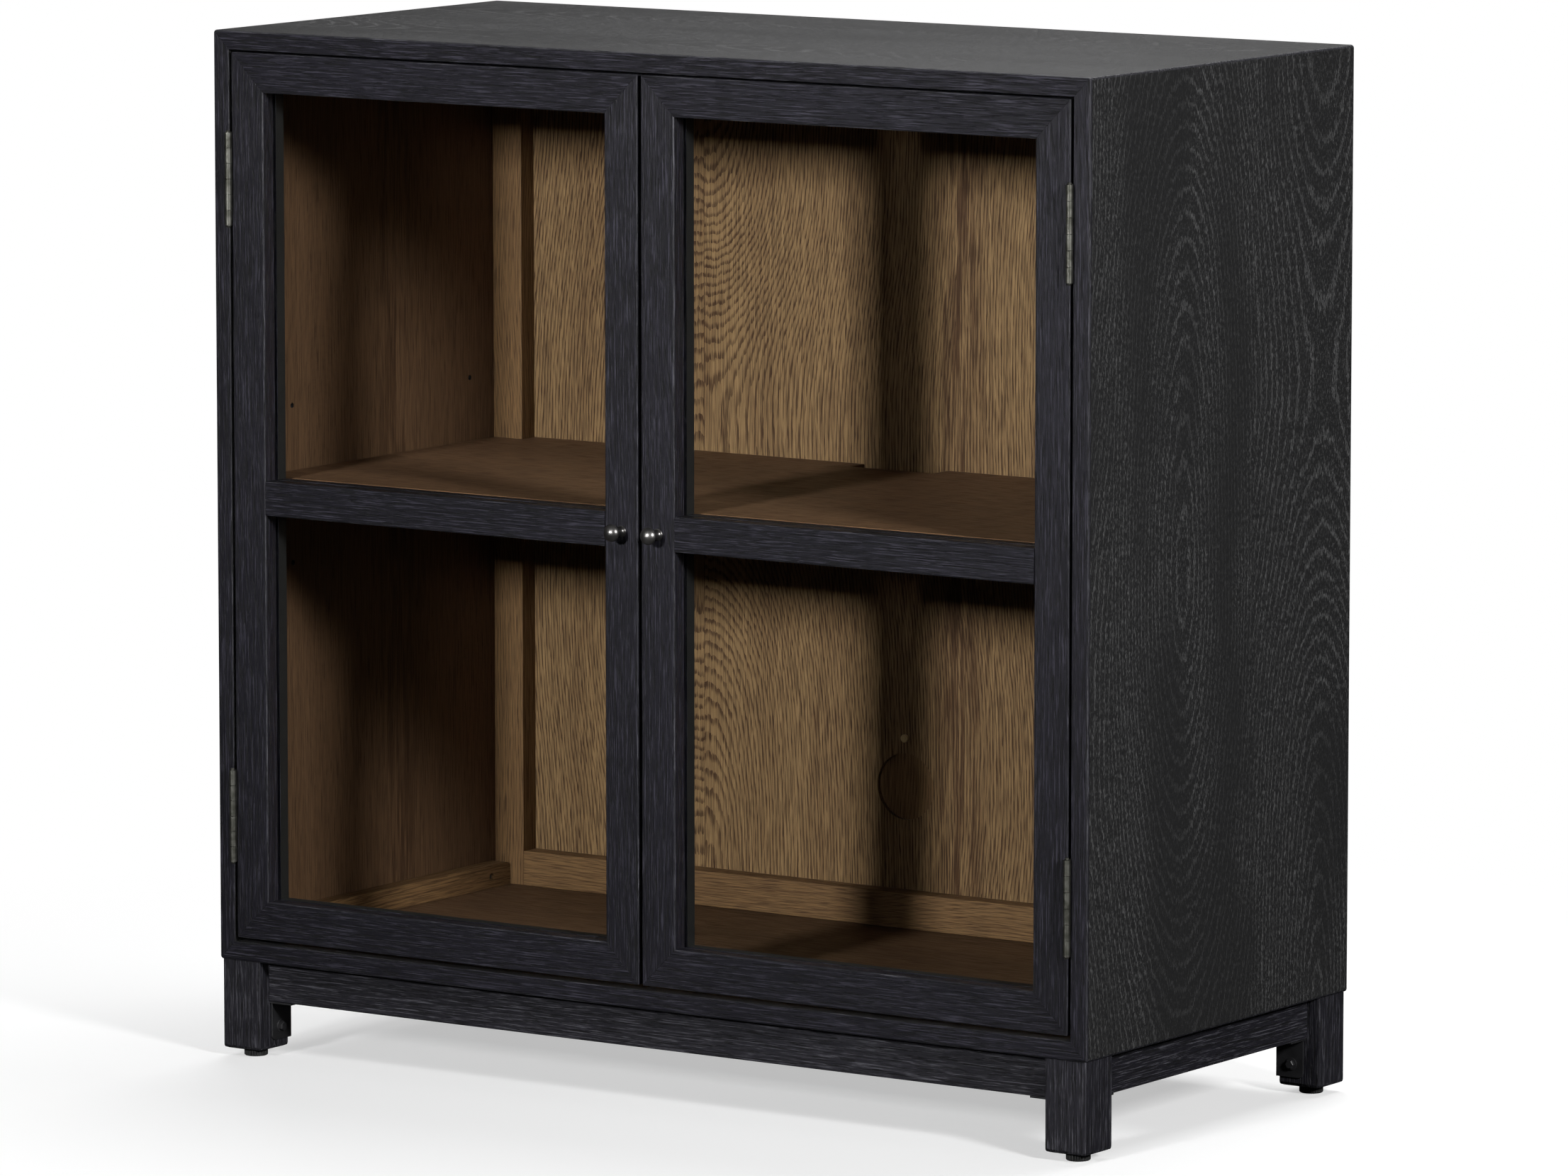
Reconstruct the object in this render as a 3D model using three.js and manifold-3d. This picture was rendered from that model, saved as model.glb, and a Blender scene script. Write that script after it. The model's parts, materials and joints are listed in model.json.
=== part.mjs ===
// Two-door glazed display cabinet on a leg-and-apron base.
// Millimetres, +Z up. X runs along the width, the doors face -Y. The origin is on the floor, at the
// centre of the overall box, which reaches from the front of the door knobs to the back of the case.

import * as THREE from 'three';
import { mergeVertices } from 'three/addons/utils/BufferGeometryUtils.js';
import Module from 'manifold-3d';

const wasm = await Module();
wasm.setup();

// ---- Driving dimensions ----

// Overall
const WIDTH = 1000;
const DEPTH = 460;
const HEIGHT = 1000;
const BASE_HEIGHT = 96;
const BOARD = 18.5;
const CLEARANCE = 0.3;

// Doors
const DOOR_GAP_TOP = 2;
const DOOR_GAP_SIDE = 3;
const DOOR_GAP_BOTTOM = 4.5;
const DOOR_GAP_CENTRE = 4;
const DOOR_THICKNESS = 33;
const FRAME_WIDTH = 38;
const MID_RAIL_HEIGHT = 33.4;
const GLASS_THICKNESS = 4;
const GLASS_SETBACK = 16;
const GLASS_BITE = 6;
const GROOVE_DEPTH = 8;
const GROOVE_WIDTH = 4.6;

// Knobs, as [radius, distance from the door face]
const KNOB_REACH = 22;
const KNOB_PROFILE = [
  [0, 0], [5.6, 0], [5.6, 1.2], [4.6, 2], [3.5, 3.4], [3.2, 7], [3.8, 10.4], [6, 12.6],
  [8, 14.2], [8.4, 15.8], [8, 17.6], [6.4, 19.8], [3.6, 21.4], [0, KNOB_REACH],
];

// Butt hinges
const HINGE_LENGTH = 90;
const HINGE_INSET = 79;
const HINGE_KNUCKLES = 6;
const HINGE_BARREL_RADIUS = 3.4;
const HINGE_BORE_RADIUS = 2;
const HINGE_PIN_RADIUS = 1.6;
const HINGE_STANDOFF = 3.8;
const HINGE_LEAF_DEPTH = 26;
const HINGE_LEAF_THICKNESS = 1.25;
const HINGE_KNUCKLE_GAP = 0.3;

// Back frame, back panel and cable outlet
const BACK_STRIP_WIDTH = 35;
const BACK_STRIP_DEPTH = 21.5;
const BACK_PANEL_INSET = 9.5;
const BACK_PANEL_THICKNESS = 4.5;
const CABLE_HOLE_RADIUS = 33;
const CABLE_HOLE_HEIGHT = 155;
const COVER_RADIUS = 42;
const COVER_EAR_RADIUS = 14;
const COVER_THICKNESS = 3;
const COVER_PIVOT_RISE = 48;
const COVER_GAP = 0.5;
const SCREW_RADIUS = 2;
const SCREW_HOLE_RADIUS = 2.5;

// Shelf and its supports
const SHELF_THICKNESS = 20;
const SHELF_TOP_HEIGHT = 470;
const SHELF_END_GAP = 2;
const SHELF_FRONT_SETBACK = 44;
const SHELF_NOTCH_WIDTH = 97;
const SHELF_NOTCH_DEPTH = 26;
const PEG_ROW_INSET_FRONT = 97;
const PEG_ROW_INSET_BACK = 71;
const PEG_HEIGHTS = [389, 461.3, 533.6];
const PEG_RADIUS = 2.4;
const PEG_HOLE_RADIUS = 2.7;
const PEG_LENGTH = 9;
const PEG_HOLE_DEPTH = 10;
const SUPPORT_PLATE = 1.5;
const SUPPORT_WIDTH = 12;
const SUPPORT_LEDGE = 14;
const SUPPORT_PLATE_RISE = 16;

// Floor cleat
const CLEAT_WIDTH = 19;
const CLEAT_HEIGHT = 23;
const CLEAT_FRONT_SETBACK = 40;
const CLEAT_CORNER = 6;

// Base
const LEG_SIZE = 45;
const LEG_INSET = 2;
const LEVELLER_HEIGHT = 8;
const LEVELLER_RADIUS = 11.5;
const STEM_RADIUS = 4;
const STEM_HOLE_RADIUS = 4.6;
const STEM_LENGTH = 32;
const STEM_HOLE_DEPTH = 40;
const APRON_HEIGHT = 40;
const APRON_THICKNESS = 20;
const APRON_SETBACK = 13.5;
const BRACKET_THICKNESS = 2;
const BRACKET_FLANGE = 28;
const BRACKET_REACH = 26;
const BRACKET_UNDER_APRON = 30;
const BRACKET_RISE = 9;
const BRACKET_CORNER = 5;

// Facets
const ROUND = 16;
const ROUND_LARGE = 40;
const ROUND_SMALL = 12;
const ARC_STEPS = 4;

// ---- Places worked out from the dimensions ----

const RIGHT = WIDTH / 2;
const BACK = (DEPTH + KNOB_REACH) / 2;
const FRONT = BACK - DEPTH;
const CASE_BOTTOM = BASE_HEIGHT;
const FLOOR = CASE_BOTTOM + BOARD;
const CEILING = HEIGHT - BOARD;
const INSIDE = RIGHT - BOARD;
const PANEL_FRONT = BACK - BACK_PANEL_INSET;
const PANEL_BACK = PANEL_FRONT + BACK_PANEL_THICKNESS;
const STRIP_FRONT = PANEL_FRONT - BACK_STRIP_DEPTH;
const STRIP_INSIDE = INSIDE - BACK_STRIP_WIDTH;

const DOOR_BOTTOM = FLOOR + DOOR_GAP_BOTTOM;
const DOOR_TOP = CEILING - DOOR_GAP_TOP;
const DOOR_HINGE_EDGE = INSIDE - DOOR_GAP_SIDE;
const DOOR_MEETING_EDGE = DOOR_GAP_CENTRE / 2;
const MID_RAIL_CENTRE = (DOOR_BOTTOM + DOOR_TOP) / 2 + 1;
const MID_RAIL_BOTTOM = MID_RAIL_CENTRE - MID_RAIL_HEIGHT / 2;
const MID_RAIL_TOP = MID_RAIL_CENTRE + MID_RAIL_HEIGHT / 2;

const LEG_BOTTOM = LEVELLER_HEIGHT;
const LEG_OUTER = RIGHT - LEG_INSET;
const LEG_FRONT = FRONT + LEG_INSET;
const LEG_REAR = BACK - LEG_INSET;
const APRON_BOTTOM = CASE_BOTTOM - APRON_HEIGHT;

const SIDES = [['left', -1], ['right', 1]];
const ENDS = [['front', -1], ['rear', 1]];

// ---- Materials ----

function finish(color, roughness, metalness, opacity = 1) {
  return new THREE.MeshStandardMaterial({
    color, roughness, metalness, opacity, transparent: opacity < 1,
  });
}

const blackOak = () => finish(0x29292e, 0.62, 0);
const brownOak = () => finish(0x8a6238, 0.6, 0);
const clearGlass = () => finish(0xdfe8e6, 0.05, 0, 0.25);
const gunmetal = () => finish(0x46443f, 0.42, 0.9);
const blackSteel = () => finish(0x1d1d20, 0.5, 0.7);
const zincSteel = () => finish(0x9a978e, 0.38, 0.9);
const blackRubber = () => finish(0x141414, 0.85, 0);

// ---- Geometry helpers ----

function signedVolume(points, index) {
  let volume = 0;
  for (let i = 0; i < index.length; i += 3) {
    const [a, b, c] = [points[index[i]], points[index[i + 1]], points[index[i + 2]]];
    volume += a.dot(b.clone().cross(c)) / 6;
  }
  return volume;
}

function turnedInsideOut(index) {
  const turned = [];
  for (let i = 0; i < index.length; i += 3) {
    turned.push(index[i], index[i + 2], index[i + 1]);
  }
  return turned;
}

// Closed solid between two copies of a flat outline. place(u, v, end) puts an outline point in space,
// for end 0 and end 1, so that a bar's ends may be cut square or mitred.
function loft(outline, place) {
  const flat = outline.map(([u, v]) => new THREE.Vector2(u, v));
  if (THREE.ShapeUtils.isClockWise(flat)) {
    flat.reverse();
  }
  const count = flat.length;
  const points = [0, 1].flatMap((end) => flat.map((p) => new THREE.Vector3(...place(p.x, p.y, end))));
  const index = [];
  for (const [a, b, c] of THREE.ShapeUtils.triangulateShape(flat, [])) {
    index.push(c, b, a);
    index.push(a + count, b + count, c + count);
  }
  for (let i = 0; i < count; i += 1) {
    const j = (i + 1) % count;
    index.push(i, j, j + count);
    index.push(i, j + count, i + count);
  }
  const geometry = new THREE.BufferGeometry().setFromPoints(points);
  geometry.setIndex(signedVolume(points, index) < 0 ? turnedInsideOut(index) : index);
  return geometry;
}

const alongX = (outline, x0, x1) => loft(outline, (y, z, end) => [end ? x1 : x0, y, z]);
const alongY = (outline, y0, y1) => loft(outline, (x, z, end) => [x, end ? y1 : y0, z]);
const alongZ = (outline, z0, z1) => loft(outline, (x, y, end) => [x, y, end ? z1 : z0]);

function rectangle(u0, u1, v0, v1) {
  return [[u0, v0], [u1, v0], [u1, v1], [u0, v1]];
}

function block(x0, x1, y0, y1, z0, z1) {
  return alongZ(rectangle(x0, x1, y0, y1), z0, z1);
}

function arc(centreU, centreV, radius, from, to, steps) {
  return Array.from({ length: steps + 1 }, (_, i) => {
    const angle = from + ((to - from) * i) / steps;
    return [centreU + radius * Math.cos(angle), centreV + radius * Math.sin(angle)];
  });
}

function circle(centreU, centreV, radius, sides) {
  return arc(centreU, centreV, radius, 0, 2 * Math.PI, sides).slice(0, sides);
}

// Solid of revolution about the Z axis; the profile is [radius, height] pairs, axis to axis.
function turned(profile, segments) {
  const points = profile.map(([radius, height]) => new THREE.Vector2(radius, height));
  return welded(new THREE.LatheGeometry(points, segments).rotateX(Math.PI / 2));
}

// One vertex per corner and no triangle without area, which a boolean needs.
function welded(geometry) {
  const bare = geometry.clone();
  bare.deleteAttribute('normal');
  bare.deleteAttribute('uv');
  const merged = mergeVertices(bare);
  const index = [];
  for (let i = 0; i < merged.index.count; i += 3) {
    const [a, b, c] = [0, 1, 2].map((k) => merged.index.getX(i + k));
    if (a !== b && b !== c && c !== a) {
      index.push(a, b, c);
    }
  }
  merged.setIndex(index);
  return merged;
}

function toSolid(geometry) {
  const { attributes, index } = welded(geometry);
  return new wasm.Manifold(new wasm.Mesh({
    numProp: 3,
    vertProperties: new Float32Array(attributes.position.array),
    triVerts: new Uint32Array(index.array),
  }));
}

function toGeometry(solid) {
  const mesh = solid.getMesh();
  const geometry = new THREE.BufferGeometry();
  geometry.setAttribute('position', new THREE.BufferAttribute(mesh.vertProperties, 3));
  geometry.setIndex(new THREE.BufferAttribute(mesh.triVerts, 1));
  return geometry;
}

function joined(...geometries) {
  return toGeometry(geometries.map(toSolid).reduce((whole, piece) => whole.add(piece)));
}

function drilled(geometry, ...cutters) {
  return toGeometry(cutters.map(toSolid).reduce((rest, cutter) => rest.subtract(cutter), toSolid(geometry)));
}

// The same piece for the other side: X and Y may each be reversed.
function reflected(geometry, signX, signY) {
  const copy = geometry.clone().scale(signX, signY, 1);
  if (signX * signY < 0) {
    copy.setIndex(turnedInsideOut(Array.from(copy.index.array)));
  }
  return copy;
}

// ---- The assembly ----

const cabinet = new THREE.Group();

function add(name, geometry, material) {
  geometry.computeVertexNormals();
  const mesh = new THREE.Mesh(geometry, material);
  mesh.name = name;
  cabinet.add(mesh);
  return mesh;
}

// Four boards mitred into a box, with peg holes for the shelf in the two upright ones.
function addCase() {
  const top = [[-RIGHT, HEIGHT], [RIGHT, HEIGHT], [INSIDE, CEILING], [-INSIDE, CEILING]];
  const bottom = [[-RIGHT, CASE_BOTTOM], [RIGHT, CASE_BOTTOM], [INSIDE, FLOOR], [-INSIDE, FLOOR]];
  add('top_panel', alongY(top, FRONT, BACK), blackOak());
  add('bottom_panel', alongY(bottom, FRONT, BACK), blackOak());
  for (const [side, sign] of SIDES) {
    const outer = sign * RIGHT;
    const inner = sign * INSIDE;
    const outline = [[outer, CASE_BOTTOM], [outer, HEIGHT], [inner, CEILING], [inner, FLOOR]];
    const holes = pegPlaces().map(([y, z]) => (
      alongX(circle(y, z, PEG_HOLE_RADIUS, ROUND_SMALL), inner - sign, inner + sign * PEG_HOLE_DEPTH)
    ));
    add(`${side}_side_panel`, drilled(alongY(outline, FRONT, BACK), ...holes), blackOak());
  }
}

function pegRows() {
  return [FRONT + PEG_ROW_INSET_FRONT, BACK - PEG_ROW_INSET_BACK];
}

function pegPlaces() {
  return pegRows().flatMap((y) => PEG_HEIGHTS.map((height) => [y, CASE_BOTTOM + height]));
}

// Thin back panel with the cable hole, held against two stiles and a bottom rail.
function addBack() {
  const holeZ = CASE_BOTTOM + CABLE_HOLE_HEIGHT;
  const pivotZ = holeZ + COVER_PIVOT_RISE;
  const sheet = block(-INSIDE, INSIDE, PANEL_FRONT, PANEL_BACK, FLOOR, CEILING);
  const past = 1;
  const cableHole = alongY(
    circle(0, holeZ, CABLE_HOLE_RADIUS, ROUND_LARGE), PANEL_FRONT - past, PANEL_BACK + past,
  );
  const screwHole = alongY(
    circle(0, pivotZ, SCREW_HOLE_RADIUS, ROUND_SMALL), PANEL_FRONT - past, PANEL_BACK + past,
  );
  add('back_panel', drilled(sheet, cableHole, screwHole), brownOak());
  for (const [side, sign] of SIDES) {
    const [x0, x1] = [sign * INSIDE, sign * STRIP_INSIDE].sort((a, b) => a - b);
    add(`back_${side}_stile`, block(x0, x1, STRIP_FRONT, PANEL_FRONT, FLOOR, CEILING), brownOak());
  }
  const railTop = FLOOR + BACK_STRIP_WIDTH;
  const rail = block(-STRIP_INSIDE, STRIP_INSIDE, STRIP_FRONT, PANEL_FRONT, FLOOR, railTop);
  add('back_bottom_rail', rail, brownOak());
  addCableCover(holeZ, pivotZ);
}

// Cover plate that hangs from a screw above the cable hole, behind the panel.
function addCableCover(holeZ, pivotZ) {
  const lean = Math.asin((COVER_RADIUS - COVER_EAR_RADIUS) / COVER_PIVOT_RISE);
  const outline = [
    ...arc(0, holeZ, COVER_RADIUS, Math.PI - lean, 2 * Math.PI + lean, ROUND_LARGE / 2),
    ...arc(0, pivotZ, COVER_EAR_RADIUS, lean, Math.PI - lean, ROUND / 2),
  ];
  const front = PANEL_BACK + COVER_GAP;
  const back = front + COVER_THICKNESS;
  const past = 1;
  const hole = alongY(circle(0, pivotZ, SCREW_HOLE_RADIUS, ROUND_SMALL), front - past, back + past);
  add('cable_cover', drilled(alongY(outline, front, back), hole), blackOak());

  const nutRadius = 4;
  const nutLength = 3;
  const headRadius = 4.4;
  const head = back + CLEARANCE;
  const nut = PANEL_FRONT - CLEARANCE;
  const tip = nut - nutLength;
  const headThickness = 1.2;
  const profile = [
    [0, tip - 1], [SCREW_RADIUS, tip - 1], [SCREW_RADIUS, tip], [nutRadius, tip], [nutRadius, nut],
    [SCREW_RADIUS, nut], [SCREW_RADIUS, head], [headRadius, head], [0, head + headThickness],
  ];
  const screw = turned(profile, ROUND_SMALL).rotateX(-Math.PI / 2).translate(0, 0, pivotZ);
  add('cable_cover_screw', screw, zincSteel());
}

// Strip along the floor against the left side, with its ends rounded off on top.
function addFloorCleat() {
  const front = FRONT + CLEAT_FRONT_SETBACK;
  const back = STRIP_FRONT - CLEARANCE;
  const top = FLOOR + CLEAT_HEIGHT;
  const arcZ = top - CLEAT_CORNER;
  const outline = [
    [front, FLOOR],
    [back, FLOOR],
    ...arc(back - CLEAT_CORNER, arcZ, CLEAT_CORNER, 0, Math.PI / 2, ARC_STEPS),
    ...arc(front + CLEAT_CORNER, arcZ, CLEAT_CORNER, Math.PI / 2, Math.PI, ARC_STEPS),
  ];
  add('left_floor_cleat', alongX(outline, -INSIDE, CLEAT_WIDTH - INSIDE), brownOak());
}

// Loose shelf, cut out at its back corners for the stiles and in the middle for cables.
function addShelf() {
  const end = INSIDE - SHELF_END_GAP;
  const front = FRONT + SHELF_FRONT_SETBACK;
  const back = PANEL_FRONT - CLEARANCE;
  const cornerX = STRIP_INSIDE - 1;
  const cornerY = STRIP_FRONT - 1;
  const notchX = SHELF_NOTCH_WIDTH / 2;
  const notchY = back - SHELF_NOTCH_DEPTH;
  const outline = [
    [-end, front], [end, front], [end, cornerY], [cornerX, cornerY], [cornerX, back],
    [notchX, back], [notchX, notchY], [-notchX, notchY], [-notchX, back],
    [-cornerX, back], [-cornerX, cornerY], [-end, cornerY],
  ];
  const top = CASE_BOTTOM + SHELF_TOP_HEIGHT;
  add('shelf', alongZ(outline, top - SHELF_THICKNESS, top), brownOak());
  addShelfSupports(top - SHELF_THICKNESS);
}

// Each support is a bent plate under the shelf, hung on a peg in the side panel's middle hole.
function addShelfSupports(underside) {
  const pegZ = CASE_BOTTOM + PEG_HEIGHTS[1];
  const plateFace = INSIDE - SUPPORT_PLATE;
  const half = SUPPORT_WIDTH / 2;
  const profile = [
    [INSIDE, underside - SUPPORT_PLATE], [INSIDE, underside + SUPPORT_PLATE_RISE],
    [plateFace, underside + SUPPORT_PLATE_RISE], [plateFace, underside],
    [INSIDE - SUPPORT_LEDGE, underside], [INSIDE - SUPPORT_LEDGE, underside - SUPPORT_PLATE],
  ];
  for (const [end, y] of [['front', pegRows()[0]], ['rear', pegRows()[1]]]) {
    const plate = alongY(profile, y - half, y + half);
    const peg = alongX(circle(y, pegZ, PEG_RADIUS, ROUND_SMALL), plateFace + 0.5, INSIDE + PEG_LENGTH);
    const support = joined(plate, peg);
    for (const [side, sign] of SIDES) {
      add(`shelf_support_${end}_${side}`, reflected(support, sign, 1), zincSteel());
    }
  }
}

function addBase() {
  for (const [end, signY] of ENDS) {
    for (const [side, signX] of SIDES) {
      addLeg(`${end}_${side}`, signX, signY);
    }
  }
  const between = LEG_OUTER - LEG_SIZE;
  const setIn = APRON_SETBACK;
  const frontFace = LEG_FRONT + setIn;
  const rearFace = LEG_REAR - setIn;
  const rail = (y0, y1) => block(-between, between, y0, y1, APRON_BOTTOM, CASE_BOTTOM);
  add('apron_front', rail(frontFace, frontFace + APRON_THICKNESS), blackOak());
  add('apron_rear', rail(rearFace - APRON_THICKNESS, rearFace), blackOak());
  for (const [side, sign] of SIDES) {
    const outer = sign * (LEG_OUTER - setIn);
    const inner = outer - sign * APRON_THICKNESS;
    const [x0, x1] = [outer, inner].sort((a, b) => a - b);
    const [y0, y1] = [LEG_FRONT + LEG_SIZE, LEG_REAR - LEG_SIZE];
    add(`apron_${side}`, block(x0, x1, y0, y1, APRON_BOTTOM, CASE_BOTTOM), blackOak());
  }
}

// Leg, its screw-in leveller and the steel bracket in its inner corner.
function addLeg(place, signX, signY) {
  const centreX = signX * (LEG_OUTER - LEG_SIZE / 2);
  const centreY = signY < 0 ? LEG_FRONT + LEG_SIZE / 2 : LEG_REAR - LEG_SIZE / 2;
  const half = LEG_SIZE / 2;
  const post = block(
    centreX - half, centreX + half, centreY - half, centreY + half, LEG_BOTTOM, CASE_BOTTOM,
  );
  const stemHole = alongZ(
    circle(centreX, centreY, STEM_HOLE_RADIUS, ROUND), LEG_BOTTOM - 1, LEG_BOTTOM + STEM_HOLE_DEPTH,
  );
  add(`leg_${place}`, drilled(post, stemHole), blackOak());

  const padTop = LEVELLER_HEIGHT - CLEARANCE;
  const chamfer = 1;
  const profile = [
    [0, 0], [LEVELLER_RADIUS - chamfer, 0], [LEVELLER_RADIUS, chamfer],
    [LEVELLER_RADIUS, padTop - chamfer], [LEVELLER_RADIUS - chamfer, padTop],
    [STEM_RADIUS, padTop], [STEM_RADIUS, padTop + STEM_LENGTH], [0, padTop + STEM_LENGTH],
  ];
  const leveller = turned(profile, ROUND).translate(centreX, centreY, 0);
  add(`leveller_${place}`, leveller, blackRubber());

  const bracket = reflected(legBracket(), -signX, -signY);
  bracket.translate(centreX - signX * half, centreY - signY * half, 0);
  add(`leg_bracket_${place}`, bracket, blackSteel());
}

// Bent plate with its inside corner at the origin: two flanges on the leg's inner faces, and a tab
// under each apron. Positive X and Y point away from the leg.
function legBracket() {
  const t = BRACKET_THICKNESS;
  const bottom = LEG_BOTTOM + BRACKET_RISE;
  const flange = [
    [t, APRON_BOTTOM],
    [t, bottom],
    ...arc(
      BRACKET_CORNER - BRACKET_FLANGE, bottom + BRACKET_CORNER, BRACKET_CORNER,
      1.5 * Math.PI, Math.PI, ARC_STEPS,
    ),
    [-BRACKET_FLANGE, APRON_BOTTOM],
  ];
  const under = BRACKET_UNDER_APRON;
  const reach = BRACKET_REACH;
  const tabs = [[0, -under], [reach, -under], [reach, reach], [-under, reach], [-under, 0], [0, 0]];
  return joined(
    alongX(flange, 0, t),
    alongY(flange, 0, t),
    alongZ(tabs, APRON_BOTTOM - t, APRON_BOTTOM),
  );
}

// Butt hinge on the right-hand side, with its pin on the Z axis and the case to +X.
function hingePieces() {
  const half = HINGE_LENGTH / 2;
  const pitch = HINGE_LENGTH / HINGE_KNUCKLES;
  const leafFace = DOOR_GAP_SIDE / 2 - HINGE_LEAF_THICKNESS;
  const leafFront = HINGE_BARREL_RADIUS + CLEARANCE;
  const leaf = (sign, firstKnuckle) => {
    const [x0, x1] = [sign * leafFace, (sign * DOOR_GAP_SIDE) / 2].sort((a, b) => a - b);
    const plate = block(x0, x1, leafFront, leafFront + HINGE_LEAF_DEPTH, -half, half);
    const pieces = [plate];
    for (let k = firstKnuckle; k < HINGE_KNUCKLES; k += 2) {
      const z0 = k * pitch - half + HINGE_KNUCKLE_GAP / 2;
      const z1 = z0 + pitch - HINGE_KNUCKLE_GAP;
      pieces.push(alongZ(circle(0, 0, HINGE_BARREL_RADIUS, ROUND), z0, z1));
      pieces.push(block(x0, x1, 0, leafFront + 1, z0, z1));
    }
    const bore = alongZ(circle(0, 0, HINGE_BORE_RADIUS, ROUND_SMALL), -half - 1, half + 1);
    return drilled(joined(...pieces), bore);
  };
  const headRadius = 2.6;
  const headHeight = 1.6;
  const headSeat = half + CLEARANCE;
  const pin = turned([
    [0, -headSeat - headHeight], [headRadius - 1, -headSeat - headHeight], [headRadius, -headSeat],
    [HINGE_PIN_RADIUS, -headSeat], [HINGE_PIN_RADIUS, headSeat],
    [headRadius, headSeat], [headRadius - 1, headSeat + headHeight], [0, headSeat + headHeight],
  ], ROUND_SMALL);
  return { case_leaf: leaf(1, 0), door_leaf: leaf(-1, 1), pin };
}

function addHinges() {
  const fromEnd = HINGE_INSET + HINGE_LENGTH / 2;
  const levels = [['upper', CEILING - fromEnd], ['lower', FLOOR + fromEnd]];
  const pinX = INSIDE - DOOR_GAP_SIDE / 2;
  const pinY = FRONT - HINGE_STANDOFF;
  for (const [side, sign] of SIDES) {
    for (const [level, z] of levels) {
      for (const [piece, geometry] of Object.entries(hingePieces())) {
        const placed = reflected(geometry, sign, 1).translate(sign * pinX, pinY, z);
        add(`hinge_${level}_${side}_${piece}`, placed, gunmetal());
      }
    }
  }
}

// Section of a door frame bar: u inwards from the outer edge, v back from the face. The groove in
// the inner edge holds the glass.
function frameSection() {
  const grooveFront = GLASS_SETBACK + (GLASS_THICKNESS - GROOVE_WIDTH) / 2;
  const grooveBack = grooveFront + GROOVE_WIDTH;
  return [
    [0, 0], [FRAME_WIDTH, 0], [FRAME_WIDTH, grooveFront], [FRAME_WIDTH - GROOVE_DEPTH, grooveFront],
    [FRAME_WIDTH - GROOVE_DEPTH, grooveBack], [FRAME_WIDTH, grooveBack],
    [FRAME_WIDTH, DOOR_THICKNESS], [0, DOOR_THICKNESS],
  ];
}

// The mid rail has a groove in both edges, and square ends between the stiles.
function midRailSection() {
  const grooveFront = FRONT + GLASS_SETBACK + (GLASS_THICKNESS - GROOVE_WIDTH) / 2;
  const grooveBack = grooveFront + GROOVE_WIDTH;
  const back = FRONT + DOOR_THICKNESS;
  return [
    [FRONT, MID_RAIL_BOTTOM], [grooveFront, MID_RAIL_BOTTOM],
    [grooveFront, MID_RAIL_BOTTOM + GROOVE_DEPTH], [grooveBack, MID_RAIL_BOTTOM + GROOVE_DEPTH],
    [grooveBack, MID_RAIL_BOTTOM], [back, MID_RAIL_BOTTOM],
    [back, MID_RAIL_TOP], [grooveBack, MID_RAIL_TOP],
    [grooveBack, MID_RAIL_TOP - GROOVE_DEPTH], [grooveFront, MID_RAIL_TOP - GROOVE_DEPTH],
    [grooveFront, MID_RAIL_TOP], [FRONT, MID_RAIL_TOP],
  ];
}

function addDoor(side, sign) {
  const name = (piece) => `${side}_door_${piece}`;
  // Upright bar whose outer edge is at |x| = edge, mitred at both ends.
  const stile = (edge, inward) => loft(frameSection(), (u, v, end) => (
    [sign * (edge + inward * u), FRONT + v, end ? DOOR_TOP - u : DOOR_BOTTOM + u]
  ));
  // Level bar whose outer edge is at height edge, mitred at both ends.
  const rail = (edge, inward) => loft(frameSection(), (u, v, end) => (
    [sign * (end ? DOOR_HINGE_EDGE - u : DOOR_MEETING_EDGE + u), FRONT + v, edge + inward * u]
  ));
  add(name('hinge_stile'), stile(DOOR_HINGE_EDGE, -1), blackOak());
  add(name('meeting_stile'), stile(DOOR_MEETING_EDGE, 1), blackOak());
  add(name('top_rail'), rail(DOOR_TOP, -1), blackOak());
  add(name('bottom_rail'), rail(DOOR_BOTTOM, 1), blackOak());

  const openingNear = sign * (DOOR_MEETING_EDGE + FRAME_WIDTH);
  const openingFar = sign * (DOOR_HINGE_EDGE - FRAME_WIDTH);
  add(name('mid_rail'), alongX(midRailSection(), openingNear, openingFar), blackOak());

  const paneNear = openingNear - sign * GLASS_BITE;
  const paneFar = openingFar + sign * GLASS_BITE;
  const paneFront = FRONT + GLASS_SETBACK;
  const pane = (z0, z1) => alongX(
    rectangle(paneFront, paneFront + GLASS_THICKNESS, z0 - GLASS_BITE, z1 + GLASS_BITE), paneNear, paneFar,
  );
  add(name('upper_glass'), pane(MID_RAIL_TOP, DOOR_TOP - FRAME_WIDTH), clearGlass());
  add(name('lower_glass'), pane(DOOR_BOTTOM + FRAME_WIDTH, MID_RAIL_BOTTOM), clearGlass());

  const knobX = sign * (DOOR_MEETING_EDGE + FRAME_WIDTH / 2);
  const knob = turned(KNOB_PROFILE, ROUND).rotateX(Math.PI / 2);
  add(name('knob'), knob.translate(knobX, FRONT, MID_RAIL_CENTRE - 1), gunmetal());
}

addCase();
addBack();
addFloorCleat();
addShelf();
addBase();
addHinges();
for (const [side, sign] of SIDES) {
  addDoor(side, sign);
}

export default cabinet;
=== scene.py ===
import json
import math
import random
from collections import namedtuple

import bmesh
import bpy
from mathutils import Matrix, Vector


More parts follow.
